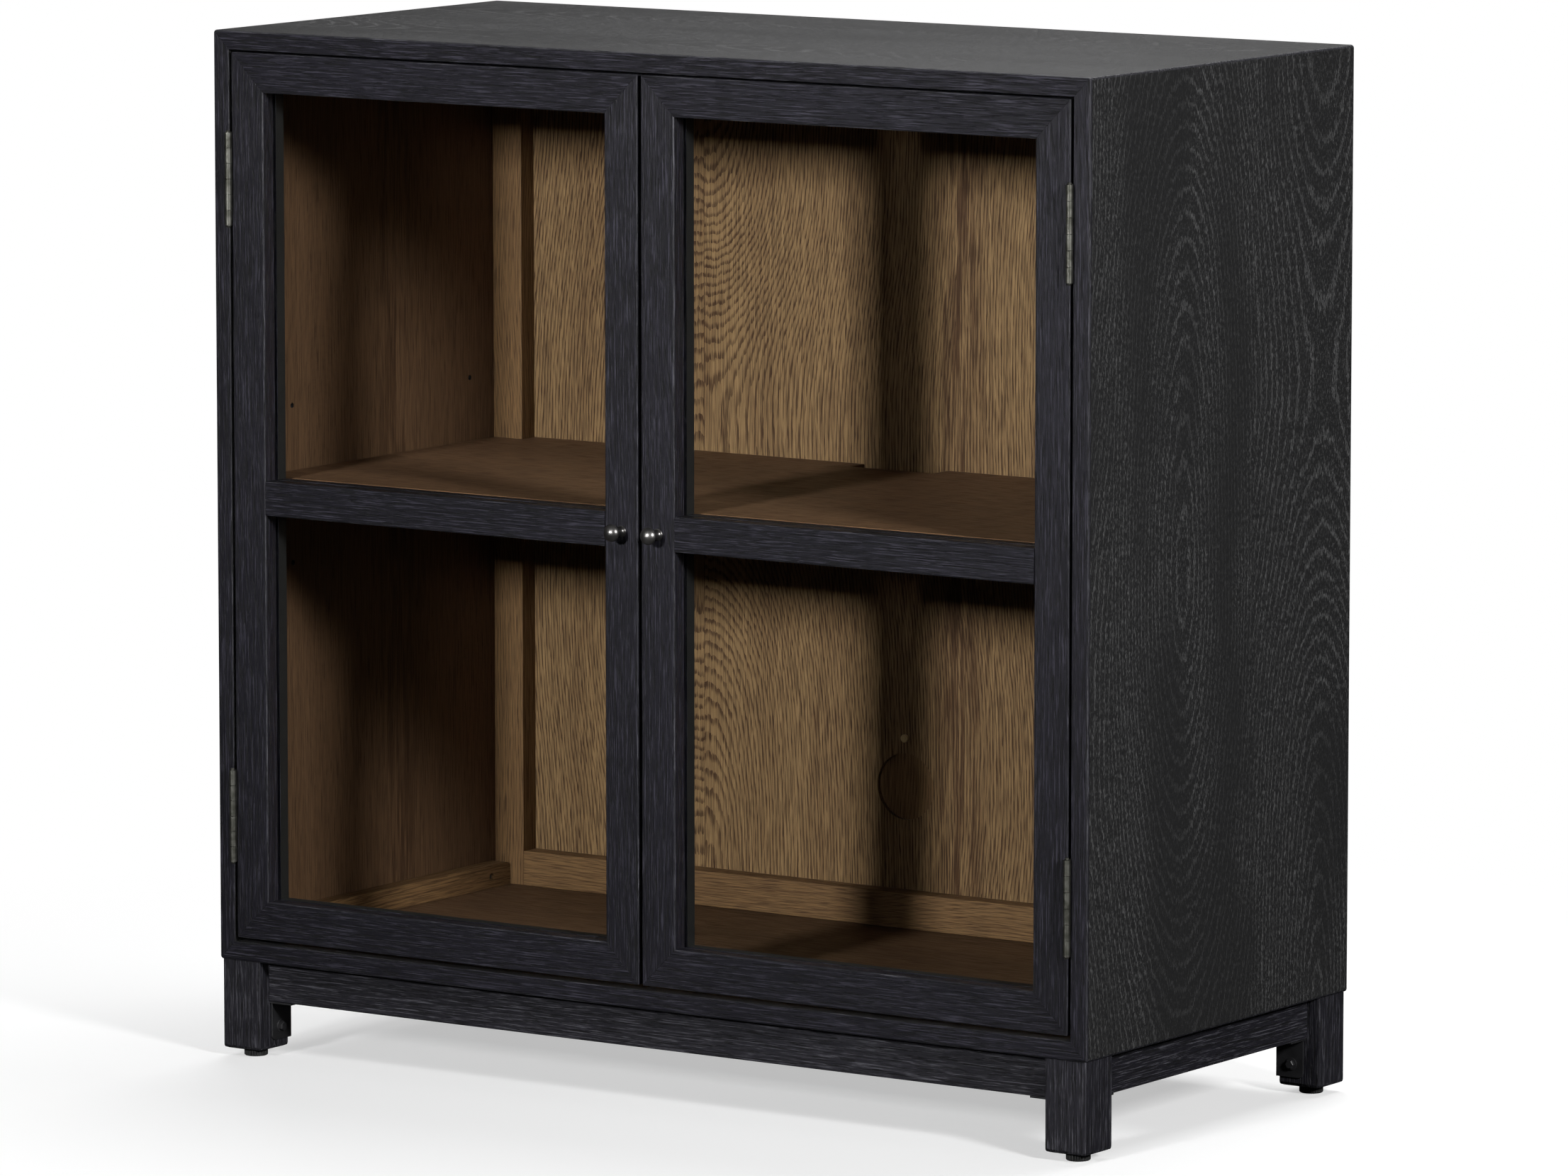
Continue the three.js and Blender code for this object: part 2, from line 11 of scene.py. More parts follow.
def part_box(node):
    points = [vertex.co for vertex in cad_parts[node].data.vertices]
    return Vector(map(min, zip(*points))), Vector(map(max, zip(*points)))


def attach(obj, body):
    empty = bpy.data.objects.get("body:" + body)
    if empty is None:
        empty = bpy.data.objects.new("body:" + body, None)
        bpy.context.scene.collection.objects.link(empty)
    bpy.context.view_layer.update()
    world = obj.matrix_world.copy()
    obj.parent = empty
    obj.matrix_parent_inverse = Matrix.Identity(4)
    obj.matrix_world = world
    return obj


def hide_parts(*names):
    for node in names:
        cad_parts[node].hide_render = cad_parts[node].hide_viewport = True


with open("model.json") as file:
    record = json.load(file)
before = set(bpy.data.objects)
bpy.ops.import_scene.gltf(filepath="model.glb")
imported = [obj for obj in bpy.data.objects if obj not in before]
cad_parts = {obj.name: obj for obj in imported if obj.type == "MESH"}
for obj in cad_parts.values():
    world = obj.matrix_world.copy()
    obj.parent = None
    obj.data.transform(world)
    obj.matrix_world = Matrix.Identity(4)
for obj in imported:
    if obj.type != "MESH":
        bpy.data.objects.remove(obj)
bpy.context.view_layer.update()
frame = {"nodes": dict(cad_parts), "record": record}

# ---- Places, in metres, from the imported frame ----

X, Y, Z = 0, 1, 2
MM = 0.001
SIDES = (("left", -1), ("right", 1))
ENDS = (("front", -1), ("rear", 1))
BODY_OF = {n: body for body, nodes in frame["record"]["behaviour"]["bodies"].items() for n in nodes}

CASE_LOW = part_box("bottom_panel")[0]
CASE_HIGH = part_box("top_panel")[1]
BOARD = CASE_HIGH.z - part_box("top_panel")[0].z
FRONT = CASE_LOW.y
BACK = CASE_HIGH.y
CEILING = CASE_HIGH.z - BOARD
PANEL_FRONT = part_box("back_panel")[0].y
DOOR_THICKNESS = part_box("left_door_top_rail")[1].y - FRONT
FRAME_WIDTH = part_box("left_door_top_rail")[1].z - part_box("left_door_top_rail")[0].z
GLASS_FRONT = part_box("left_door_upper_glass")[0].y - FRONT
GLASS_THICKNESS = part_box("left_door_upper_glass")[1].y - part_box("left_door_upper_glass")[0].y

SEAM = 0.12 * MM
PEG_PITCH = 77 * MM
SUPPORTS = [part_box(f"shelf_support_{end}_left") for end, _ in ENDS]
PEG_COLUMNS = [(low.y + high.y) / 2 for low, high in SUPPORTS]
PEG_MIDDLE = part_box("shelf")[0].z + 6 * MM
PEG_LEVELS = [PEG_MIDDLE + step * PEG_PITCH for step in (-1, 0, 1)]
STAIN_DEPTH = DOOR_THICKNESS + 2 * MM
ON_PLANE = 0.05 * MM


# ---- Shader graphs ----

class Graph:
    """A material's node tree, with one short call for each kind of node."""

    def __init__(self, name):
        self.material = bpy.data.materials.new(name)
        self.material.use_nodes = True
        self.tree = self.material.node_tree
        self.tree.nodes.clear()

    def node(self, kind, inputs=(), **settings):
        made = self.tree.nodes.new("ShaderNode" + kind)
        for key, value in settings.items():
            setattr(made, key, value)
        for key, value in dict(inputs).items():
            if isinstance(value, bpy.types.NodeSocket):
                self.tree.links.new(value, made.inputs[key])
            else:
                made.inputs[key].default_value = value
        return made

    def math(self, operation, a, b=0.0, clamp=False):
        return self.node("Math", {0: a, 1: b}, operation=operation, use_clamp=clamp).outputs[0]

    def add(self, a, b, clamp=False):
        return self.math("ADD", a, b, clamp)

    def less(self, a, b):
        return self.math("SUBTRACT", a, b)

    def times(self, a, b):
        return self.math("MULTIPLY", a, b)

    def swing(self, value, middle, amount):
        """How far a value is from its middle, times an amount."""
        return self.times(self.less(value, middle), amount)

    def noise(self, where, scale, detail, roughness):
        inputs = {"Vector": where, "Scale": scale, "Detail": detail, "Roughness": roughness}
        return self.node("TexNoise", inputs).outputs["Fac"]

    def property(self, name):
        """A custom property of the object that wears the material."""
        return self.node("Attribute", attribute_type="OBJECT", attribute_name=name).outputs["Vector"]

    def mix(self, factor, a, b):
        return self.node("Mix", {0: factor, 6: a, 7: b}, data_type="RGBA").outputs[2]

    def range(self, value, low, high, to_low=0.0, to_high=1.0):
        inputs = {0: value, 1: low, 2: high, 3: to_low, 4: to_high}
        return self.node("MapRange", inputs, interpolation_type="SMOOTHSTEP").outputs[0]

    def ends_in(self, shader):
        self.node("OutputMaterial", {"Surface": shader.outputs[0]})
        return self.material


def rgb(r, g, b):
    return (r, g, b, 1.0)


WHITE = rgb(1, 1, 1)


def grain_space(g, axis):
    """Row-frame position moved by the piece's own shift, as (across, across, along the grain)."""
    here = g.node("TexCoord").outputs["Object"]
    moved = g.node("VectorMath", {0: here, 1: g.property("grain_shift")}, operation="ADD").outputs[0]
    part = g.node("SeparateXYZ", {0: moved}).outputs
    order = {X: (Y, Z, X), Y: (X, Z, Y), Z: (X, Y, Z)}[axis]
    return [part[i] for i in order]


def grain(g, parts, across, along, detail, roughness):
    """Noise drawn out along the grain, with so many spots to the metre across it and along it."""
    inputs = {0: g.times(parts[0], across), 1: g.times(parts[1], across), 2: g.times(parts[2], along)}
    return g.noise(g.node("CombineXYZ", inputs).outputs[0], 1.0, detail, roughness)


# Veneer is laid as leaves side by side, each turned over against the last. A leaf's pith wanders nearer to
# and further from the surface, which draws arches along it.
WAVE_LENGTH = 0.9
PITH_DEPTH = 75 * MM
PITH_WAVE = 45 * MM
PITH_WANDER = 70 * MM
PITH_SWAY = 14 * MM
STEP_TO_NEXT_LEAF = 0.37

LeafPlace = namedtuple("LeafPlace", "number turned_over place width pith")


def leaf_at(g, parts):
    """The leaf at a point, and the point's place across it from 0 to 1."""
    width, pith, phase = g.node("SeparateXYZ", {0: g.property("leaf")}).outputs
    along_sheet = g.math("DIVIDE", g.less(g.add(parts[0], parts[1]), phase), width)
    number = g.math("FLOOR", along_sheet)
    turned_over = g.math("PINGPONG", number, 1.0)
    return LeafPlace(number, turned_over, g.less(along_sheet, number), width, pith)


def leaf_rings(g, parts, leaf, pitch, wave_length=WAVE_LENGTH, jagged=3 * MM):
    """The growth rings of a flat-sliced leaf, as 0 to 1 through each ring."""
    flip = g.times(leaf.turned_over, g.less(g.times(leaf.pith, 2.0), 1.0))
    own_pith = g.add(g.less(1.0, leaf.pith), flip)
    from_pith = g.times(g.less(leaf.place, own_pith), leaf.width)
    sway = grain(g, parts, across=12.0, along=4.0, detail=2.0, roughness=0.5)
    ripple = grain(g, parts, across=210.0, along=30.0, detail=2.0, roughness=0.6)
    across = g.add(from_pith, g.swing(sway, 0.5, PITH_SWAY))
    along = g.add(g.math("DIVIDE", parts[2], wave_length), g.times(leaf.number, STEP_TO_NEXT_LEAF))
    slow = {"W": along, "Scale": 2.3, "Detail": 1.0}
    wander = g.node("TexNoise", slow, noise_dimensions="1D").outputs["Fac"]
    wave = g.times(g.math("COSINE", g.times(along, 2 * math.pi)), PITH_WAVE)
    deep = g.add(g.swing(wander, 0.5, PITH_WANDER), g.add(wave, PITH_DEPTH))
    distance = g.math("SQRT", g.add(g.times(across, across), g.times(deep, deep)))
    distance = g.add(distance, g.swing(ripple, 0.5, jagged))
    return g.math("FRACT", g.math("DIVIDE", distance, pitch))


def leaf_edges(g, leaf):
    """The distance from the leaf's first edge, and from the streaked joint it shares with one neighbour."""
    edge = g.times(leaf.place, leaf.width)
    streaked_edge = g.math("ABSOLUTE", g.less(edge, g.times(leaf.turned_over, leaf.width)))
    return edge, streaked_edge


def early_wood(g, ring, start=0.42):
    """The porous band of each ring: it fades in, and ends sharply where the next ring starts."""
    return g.times(g.range(ring, start, 0.8), g.range(ring, 1.0, 0.94))


def wood_surface(g, colour, height, bump, bump_depth, roughness, specular):
    normal = g.node("Bump", {"Strength": bump, "Distance": bump_depth, "Height": height})
    return g.ends_in(g.node("BsdfPrincipled", {
        "Base Color": colour, "Roughness": roughness, "Normal": normal.outputs[0],
        "Specular IOR Level": specular,
    }))


def brown_oak(name, axis, figure, pitch, light, dark):
    """Brown-stained oak whose rings show as strongly as figure says, streaked beside every other joint."""
    g = Graph(name + "_" + "xyz"[axis])
    parts = grain_space(g, axis)
    leaf = leaf_at(g, parts)
    edge, streaked_edge = leaf_edges(g, leaf)
    early = early_wood(g, leaf_rings(g, parts, leaf, pitch))
    broken = grain(g, parts, across=600.0, along=32.0, detail=2.0, roughness=0.6)
    dashes = grain(g, parts, across=1500.0, along=32.0, detail=1.0, roughness=0.4)
    hair = grain(g, parts, across=700.0, along=8.0, detail=3.0, roughness=0.7)
    broad = grain(g, parts, across=22.0, along=1.5, detail=3.0, roughness=0.55)
    stain = grain(g, parts, across=120.0, along=7.0, detail=2.0, roughness=0.65)
    pores = g.range(g.add(dashes, g.times(early, 0.17 * figure)), 0.52, 0.61)
    joint = g.range(edge, 0.9 * MM, 0.2 * MM)
    by_joint = g.times(g.range(streaked_edge, 46 * MM, 4 * MM), g.range(stain, 0.42, 0.60, 0.15, 1.2))
    tone = g.times(g.times(early, figure), g.range(broken, 0.36, 0.60, 0.15, 1.3))
    tone = g.add(tone, g.swing(broken, 0.5, 0.7))
    tone = g.add(tone, g.swing(hair, 0.40, 1.9))
    tone = g.add(tone, g.swing(broad, 0.5, 0.8))
    tone = g.add(tone, g.times(by_joint, 0.55))
    tone = g.add(tone, joint, clamp=True)
    wood = g.mix(tone, rgb(*light), rgb(*dark))
    colour = g.mix(g.times(pores, 0.5), wood, rgb(0.0317, 0.0150, 0.0075))
    height = g.less(g.times(hair, 0.5), g.times(pores, 0.8))
    roughness = g.add(0.48, g.times(pores, 0.25))
    return wood_surface(g, colour, height, bump=0.4, bump_depth=0.2 * MM, roughness=roughness, specular=0.2)


def black_veneer(axis):
    """Smooth black-stained oak sheet whose rings show only as thin lines of pale flecks in the pores."""
    g = Graph("black_veneer_" + "xyz"[axis])
    parts = grain_space(g, axis)
    ring = leaf_rings(g, parts, leaf_at(g, parts), 5.6 * MM, wave_length=1.25, jagged=6 * MM)
    early = early_wood(g, ring, start=0.66)
    dashes = grain(g, parts, across=1250.0, along=190.0, detail=2.0, roughness=0.65)
    hair = grain(g, parts, across=600.0, along=6.0, detail=2.0, roughness=0.6)
    broad = grain(g, parts, across=9.0, along=2.5, detail=2.0, roughness=0.5)
    flecks = g.range(g.add(dashes, g.times(early, 0.10)), 0.565, 0.645)
    strength = g.range(broad, 0.36, 0.56, 0.25, 0.95)
    wood = g.mix(g.range(hair, 0.3, 0.7), rgb(0.0123, 0.0123, 0.0127), rgb(0.0151, 0.0151, 0.0154))
    colour = g.mix(g.times(flecks, strength), wood, rgb(0.0800, 0.0800, 0.0805))
    height = g.less(g.times(hair, 0.4), g.times(flecks, 0.8))
    roughness = g.add(0.5, g.times(flecks, 0.2))
    return wood_surface(g, colour, height, bump=0.5, bump_depth=0.15 * MM, roughness=roughness, specular=0.22)


def black_oak(name, axis, base, crest):
    """Solid oak, wire-brushed along the grain into fine ridges and stained black."""
    g = Graph(name + "_" + "xyz"[axis])
    parts = grain_space(g, axis)
    early = early_wood(g, leaf_rings(g, parts, leaf_at(g, parts), 7.0 * MM))
    lines = grain(g, parts, across=900.0, along=17.0, detail=3.0, roughness=0.65)
    mottle = grain(g, parts, across=400.0, along=70.0, detail=2.0, roughness=0.6)
    ridge = g.add(g.times(lines, 0.75), g.times(mottle, 0.25))
    nicks = grain(g, parts, across=620.0, along=36.0, detail=3.0, roughness=0.6)
    broad = grain(g, parts, across=16.0, along=4.0, detail=2.0, roughness=0.5)
    furrows = g.range(g.add(nicks, g.times(early, 0.07)), 0.54, 0.66)
    crests = g.range(ridge, 0.51, 0.61)
    darker = tuple(0.66 * part for part in base)
    wood = g.mix(g.range(broad, 0.3, 0.7), rgb(*darker), rgb(*base))
    wood = g.mix(crests, wood, rgb(*crest))
    colour = g.mix(g.times(furrows, 0.85), wood, rgb(0.0027, 0.0026, 0.0033))
    height = g.less(ridge, g.times(furrows, 0.8))
    roughness = g.add(0.45, g.times(furrows, 0.3))
    return wood_surface(g, colour, height, bump=0.8, bump_depth=0.6 * MM, roughness=roughness, specular=0.25)


def speckled(name, light, dark, roughness, metallic, scale=900.0, bump=0.15):
    """A coated or moulded surface with fine mottling."""
    g = Graph(name)
    here = g.node("TexCoord").outputs["Object"]
    fine = g.noise(here, scale, 2.0, 0.6)
    broad = g.noise(here, scale * 0.08, 2.0, 0.5)
    colour = g.mix(g.range(broad, 0.3, 0.7), dark, light)
    normal = g.node("Bump", {"Strength": bump, "Distance": 0.05 * MM, "Height": fine})
    mottled = g.add(roughness - 0.08, g.times(fine, 0.16))
    return g.ends_in(g.node("BsdfPrincipled", {
        "Base Color": colour, "Roughness": mottled, "Metallic": metallic, "Normal": normal.outputs[0],
    }))


def clear_glass():
    """Thin clear glass, whose reflection grows towards grazing angles alike on both of its faces."""
    g = Graph("clear_glass")
    mirror = g.node("BsdfGlossy", {"Color": WHITE, "Roughness": 0.02})
    clear = g.node("BsdfTransparent", {"Color": rgb(0.975, 0.985, 0.98)})
    grazing = g.node("LayerWeight", {"Blend": 0.5}).outputs["Facing"]
    share = g.add(g.times(g.math("POWER", grazing, 5.0), 0.45), 0.004)
    return g.ends_in(g.node("MixShader", {0: share, 1: clear.outputs[0], 2: mirror.outputs[0]}))


AXES = (X, Y, Z)
BLACK = {axis: black_oak("black_oak", axis, base=(0.0069, 0.0064, 0.0102), crest=(0.0310, 0.0296, 0.0412))
         for axis in AXES}
# A lighter copy of the black oak for the legs and aprons: painted light, standing in for light bounced up
# from the floor.
FLOOR_LIT_BLACK = {axis: black_oak("black_oak_base", axis,
                              base=(0.0140, 0.0134, 0.0180), crest=(0.0640, 0.0630, 0.0740))
              for axis in AXES}
# A lighter copy of the black oak on the faces that round the edges off: a painted highlight along the
# arrises.
ARRIS_HIGHLIGHT = {axis: black_oak("arris_highlight", axis, base=(0.0183, 0.0179, 0.0225), crest=(0.0583, 0.0575, 0.0658))
        for axis in AXES}
SHEET = {axis: black_veneer(axis) for axis in (X, Z)}
BROWN = {axis: brown_oak("brown_oak", axis, figure=0.30, pitch=3.4 * MM,
                         light=(0.2083, 0.1183, 0.0517), dark=(0.0750, 0.0350, 0.0150))
         for axis in AXES}
WALL = {axis: brown_oak("brown_veneer", axis, figure=0.06, pitch=3.0 * MM,
                        light=(0.1220, 0.0670, 0.0352), dark=(0.0425, 0.0204, 0.0102))
        for axis in (X, Z)}
SHELF_SHEET = brown_oak("brown_shelf_veneer", X, figure=0.06, pitch=3.0 * MM,
                        light=(0.1792, 0.0983, 0.0517), dark=(0.0625, 0.0300, 0.0150))
BACK_SHEET = brown_oak("brown_figured_veneer", Z, figure=0.60, pitch=3.4 * MM,
                       light=(0.2850, 0.1760, 0.0830), dark=(0.0690, 0.0325, 0.0140))
GLASS = clear_glass()
GUNMETAL = speckled("gunmetal", rgb(0.2500, 0.2417, 0.2333), rgb(0.1333, 0.1292, 0.1250),
                    roughness=0.33, metallic=0.95)
HINGE_METAL = speckled("worn_nickel", rgb(0.1417, 0.1417, 0.1250), rgb(0.0625, 0.0625, 0.0517),
                       roughness=0.44, metallic=0.9, scale=1600.0, bump=0.5)
BRASS = speckled("yellow_zinc", rgb(0.7917, 0.5833, 0.3000), rgb(0.5833, 0.4167, 0.2083),
                 roughness=0.35, metallic=0.55)
BLACK_STEEL = speckled("black_steel", rgb(0.0167, 0.0167, 0.0183), rgb(0.0100, 0.0100, 0.0108),
                       roughness=0.45, metallic=0.0)
ZINC = speckled("zinc_steel", rgb(0.5167, 0.5000, 0.4583), rgb(0.3333, 0.3167, 0.2833),
                roughness=0.33, metallic=1.0)
MOULDING = speckled("black_moulding", rgb(0.0117, 0.0117, 0.0117), rgb(0.0067, 0.0067, 0.0067),
                    roughness=0.6, metallic=0.0)
# Near-black, painted on the frame's rebate faces behind the glass.
BEHIND_GLASS_BLACK = speckled("behind_glass_black", rgb(0.0050, 0.0050, 0.0050), rgb(0.0025, 0.0025, 0.0025),
                     roughness=0.7, metallic=0.0)


# ---- Mesh helpers ----

FAR_LEAF = 10.0
HALF_LEAF = FAR_LEAF / 2
SMOOTH_BELOW = math.radians(38)
ROUNDED_ABOVE = math.radians(30)

Wood = namedtuple("Wood", "leaf_width pith phase shift")


def own_wood(name, bm):
    """Where a solid piece is cut, the same every run: inside one wide leaf, off to one side of its pith."""
    chance = random.Random(name)
    shift = []
    for i in AXES:
        low = min(v.co[i] for v in bm.verts)
        shift.append(HALF_LEAF / 2 + FAR_LEAF * chance.randint(-9, 9) - low)
    return Wood(FAR_LEAF, (HALF_LEAF + chance.uniform(0.12, 0.3)) / FAR_LEAF, 0.0, shift)


def piece(name, bm, body, materials, nodes=(), wood=None):
    """Ends a mesh as a named piece that rides on a body; wood says where in the veneer it is cut."""
    bmesh.ops.recalc_face_normals(bm, faces=bm.faces)
    for face in bm.faces:
        face.smooth = True
    if wood is None:
        wood = own_wood(name, bm)
    mesh = bpy.data.meshes.new(name)
    bm.to_mesh(mesh)
    bm.free()
    for material in materials:
        mesh.materials.append(material)
    mesh.set_sharp_from_angle(angle=SMOOTH_BELOW)
    made = bpy.data.objects.new(name, mesh)
    bpy.context.scene.collection.objects.link(made)
    made["grain_shift"] = list(wood.shift)
    made["leaf"] = [wood.leaf_width, wood.pith, wood.phase]
    made.modifiers.new("normals", "WEIGHTED_NORMAL").keep_sharp = True
    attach(made, body)
    if nodes:
        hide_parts(*nodes)
    return made


def cad_copy(node):
    """The CAD node's shape with its flat faces whole again."""
    bm = bmesh.new()
    bm.from_mesh(frame["nodes"][node].data)
    bmesh.ops.remove_doubles(bm, verts=bm.verts, dist=0.002 * MM)
    bmesh.ops.dissolve_limit(bm, angle_limit=math.radians(1), verts=bm.verts, edges=bm.edges)
    return bm


def bevelled(bm, width, segments=2, test=None):
    """Rounds the outward edges; test picks some of them by their middle and direction."""
    edges = [
        e for e in bm.edges
        if len(e.link_faces) == 2 and e.is_convex and e.calc_face_angle() > ROUNDED_ABOVE
        and (test is None or test((e.verts[0].co + e.verts[1].co) / 2, e.verts[1].co - e.verts[0].co))
    ]
    bmesh.ops.bevel(bm, geom=edges, offset=width, offset_type="OFFSET", segments=segments, profile=0.5,
                    affect="EDGES", clamp_overlap=True)
    return bm


def paint(bm, index, test):
    """Gives a material to the faces that the test picks by their middle and normal."""
    bm.normal_update()
    for face in bm.faces:
        if test(face.calc_center_median(), face.normal):
            face.material_index = index
    return bm


def slanted(centre, normal):
    """True on the faces that round an edge off."""
    return sum(abs(part) > 0.3 for part in normal) > 1


def temporary(bm):
    """An object that a modifier can work on."""
    mesh = bpy.data.meshes.new("temporary")
    bm.to_mesh(mesh)
    bm.free()
    made = bpy.data.objects.new("temporary", mesh)
    bpy.context.scene.collection.objects.link(made)
    return made


def carved(bm, cutters):
    """The solid with the cutters taken out of it."""
    body, tool = temporary(bm), temporary(merged(*cutters))
    cut = body.modifiers.new("cut", "BOOLEAN")
    cut.object = tool
    cut.operation = "DIFFERENCE"
    cut.solver = "EXACT"
    result = bmesh.new()
    result.from_mesh(body.evaluated_get(bpy.context.evaluated_depsgraph_get()).data)
    for made in (body, tool):
        mesh = made.data
        bpy.data.objects.remove(made)
        bpy.data.meshes.remove(mesh)
    return result


def section(corners):
    """A closed outline whose convex right-angled corners are rounded; each corner is (u, v, radius)."""
    steps = 4
    outline = []
    count = len(corners)
    for i, (u, v, radius) in enumerate(corners):
        here = Vector((u, v))
        if radius <= 0:
            outline.append((u, v))
            continue
        before = (Vector(corners[i - 1][:2]) - here).normalized()
        after = (Vector(corners[(i + 1) % count][:2]) - here).normalized()
        middle = here + (before + after) * radius
        start = here + before * radius - middle
        for k in range(steps + 1):
            turn = math.radians(90 * k / steps)
            sign = 1 if before.x * after.y - before.y * after.x < 0 else -1
            spoke = Matrix.Rotation(sign * turn, 2) @ start
            outline.append(tuple(middle + spoke))
    return outline


def lofted(rings):
    """A closed solid through rings of points, capped at both ends."""
    bm = bmesh.new()
    loops = [[bm.verts.new(p) for p in ring] for ring in rings]
    for near, far in zip(loops, loops[1:]):
        count = len(near)
        for i in range(count):
            j = (i + 1) % count
            bm.faces.new((near[i], near[j], far[j], far[i]))
    bm.faces.new(loops[0])
    bm.faces.new(loops[-1])
    return bm


def frame_side(outline, along, ends, across, outer, inward, radius):
    """One side of a mitred rectangular frame. The outline is (distance inwards, distance behind the face)."""
    rings = []
    turns = [45, 30, 15, 0]
    for corner, into, order in ((ends[0], 1, turns), (ends[1], -1, turns[::-1])):
        for turn in order:
            ring = []
            for u, v in outline:
                point = Vector((0, 0, 0))
                point.y = FRONT + v
                if u < radius:
                    side = radius - (radius - u) * math.sin(math.radians(turn))
                    depth = radius - (radius - u) * math.cos(math.radians(turn))
                else:
                    side = u
                    depth = u
                point[along] = corner + into * (side + SEAM)
                point[across] = outer + inward * depth
                ring.append(point)
            rings.append(ring)
    bm = lofted(rings)
    bmesh.ops.remove_doubles(bm, verts=bm.verts, dist=0.001 * MM)
    return bm


def turned(profile, sides):
    """A solid of revolution about Z from (radius, height) pairs, axis to axis."""
    bm = bmesh.new()
    rings = []
    for radius, height in profile:
        if radius == 0:
            rings.append([bm.verts.new((0, 0, height))])
        else:
            rings.append([
                bm.verts.new((radius * math.cos(t), radius * math.sin(t), height))
                for t in (2 * math.pi * k / sides for k in range(sides))
            ])
    for near, far in zip(rings, rings[1:]):
        for i in range(sides):
            j = (i + 1) % sides
            corners = [near[i % len(near)], near[j % len(near)], far[j % len(far)], far[i % len(far)]]
            bm.faces.new(list(dict.fromkeys(corners)))
    return bm


def facing(bm, place, axis, sign):
    """Turns a shape made along +Z to look along an axis, and puts it in its place."""
    turn = {X: Matrix.Rotation(sign * math.pi / 2, 4, "Y"), Y: Matrix.Rotation(-sign * math.pi / 2, 4, "X"),
            Z: Matrix.Identity(4)}[axis]
    bmesh.ops.transform(bm, matrix=Matrix.Translation(place) @ turn, verts=bm.verts)
    return bm


def block(low, high):
    """A box between two corners."""
    bm = bmesh.new()
    bmesh.ops.create_cube(bm, size=1)
    size = Vector(high) - Vector(low)
    for vert in bm.verts:
        vert.co = Vector(low) + Vector((vert.co[i] + 0.5) * size[i] for i in range(3))
    return bm


def merged(*parts):
    """Several meshes as one."""
    bm = bmesh.new()
    for part in parts:
        mesh = bpy.data.meshes.new("part")
        part.to_mesh(mesh)
        part.free()
        bm.from_mesh(mesh)
        bpy.data.meshes.remove(mesh)
    return bm


# ---- Case ----

def case_section():
    return section([
        (0, 0, 2.4 * MM), (BOARD, 0, 1.0 * MM), (BOARD, STAIN_DEPTH, 0),
        (BOARD, BACK - FRONT, 0.5 * MM), (0, BACK - FRONT, 1.5 * MM),
    ])


def peg_hole(inner, outward, y, z):
    """A cutter for one shelf-peg hole in a side board's inner face."""
    deep = 9 * MM
    mouth = -0.5 * MM
    low, high = sorted((outward * mouth, outward * deep))
    radius = 2.6 * MM
    return facing(turned([(0, low), (radius, low), (radius, high), (0, high)], 24), (inner, y, z), X, 1)


def make_case():
    low, high = CASE_LOW, CASE_HIGH
    mitre_radius = 3.0 * MM
    front_edge = FRONT + 3 * MM
    far_along = 3.0
    outline = case_section()
    level = {"top_panel": (high.z, -1), "bottom_panel": (low.z, 1)}
    for name, (outer, inward) in level.items():
        bm = frame_side(outline, X, (low.x, high.x), Z, outer, inward, mitre_radius)
        inner = outer + inward * BOARD
        paint(bm, 1, lambda c, n: abs(c.z - inner) < ON_PLANE and c.y > FRONT + STAIN_DEPTH)
        paint(bm, 2, lambda c, n: c.y < front_edge)
        # The faces that round the edges off take the painted arris highlight.
        paint(bm, 3, slanted)
        wood = Wood(leaf_width=0.235, pith=0.5, phase=FRONT + outer, shift=(far_along + outer, 0.0, 0.0))
        materials = [SHEET[X], WALL[X], BLACK[X], ARRIS_HIGHLIGHT[X]]
        piece(name + "_oak", bm, "cabinet", materials, [name], wood)
    upright = {"left_side_panel": (low.x, 1), "right_side_panel": (high.x, -1)}
    for name, (outer, inward) in upright.items():
        bm = frame_side(outline, Z, (low.z, high.z), X, outer, inward, mitre_radius)
        inner = outer + inward * BOARD
        bm = carved(bm, [peg_hole(inner, -inward, y, z) for y in PEG_COLUMNS for z in PEG_LEVELS])
        paint(bm, 1, lambda c, n: abs(c.x - inner) < ON_PLANE and c.y > FRONT + STAIN_DEPTH)
        paint(bm, 2, lambda c, n: c.y < front_edge)
        # The faces that round the edges off take the painted arris highlight.
        paint(bm, 3, slanted)
        wood = Wood(leaf_width=0.245, pith=0.5, phase=0.0645 + outer, shift=(0.0, 0.0, far_along))
        materials = [SHEET[Z], WALL[Z], BLACK[Z], ARRIS_HIGHLIGHT[Z]]
        piece(name + "_oak", bm, "cabinet", materials, [name], wood)


def make_back():
    bm = cad_copy("back_panel")
    paint(bm, 1, lambda c, n: c.y > PANEL_FRONT + 4 * MM)
    streaked_joint = 0.06
    arch_height = 0.232
    shift = (0.0, 0.0, 10 * WAVE_LENGTH - arch_height)
    wood = Wood(leaf_width=0.30, pith=0.02, phase=streaked_joint + PANEL_FRONT, shift=shift)
    piece("back_panel_oak", bm, "cabinet", [BACK_SHEET, SHEET[Z]], ["back_panel"], wood)
    for node, axis in (("back_left_stile", Z), ("back_right_stile", Z), ("back_bottom_rail", X)):
        bm = bevelled(cad_copy(node), 0.8 * MM)
        piece(node + "_oak", bm, "cabinet", [BROWN[axis]], [node])
    low = Vector(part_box("back_bottom_rail")[0])
    high = Vector(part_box("back_bottom_rail")[1])
    height = high.z - low.z
    low.z, high.z = CEILING - height, CEILING
    piece("back_top_rail_oak", bevelled(block(low, high), 0.8 * MM), "cabinet", [BROWN[X]])
    bm = bevelled(cad_copy("cable_cover"), 0.3 * MM)
    paint(bm, 1, lambda c, n: c.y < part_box("cable_cover")[0].y + 0.2 * MM)
    piece("cable_cover_oak", bm, "cable_cover", [SHEET[Z], BROWN[Z]], ["cable_cover"])
    piece("cable_cover_screw_zinc", bevelled(cad_copy("cable_cover_screw"), 0.2 * MM), "cabinet",
          [BRASS], ["cable_cover_screw"])


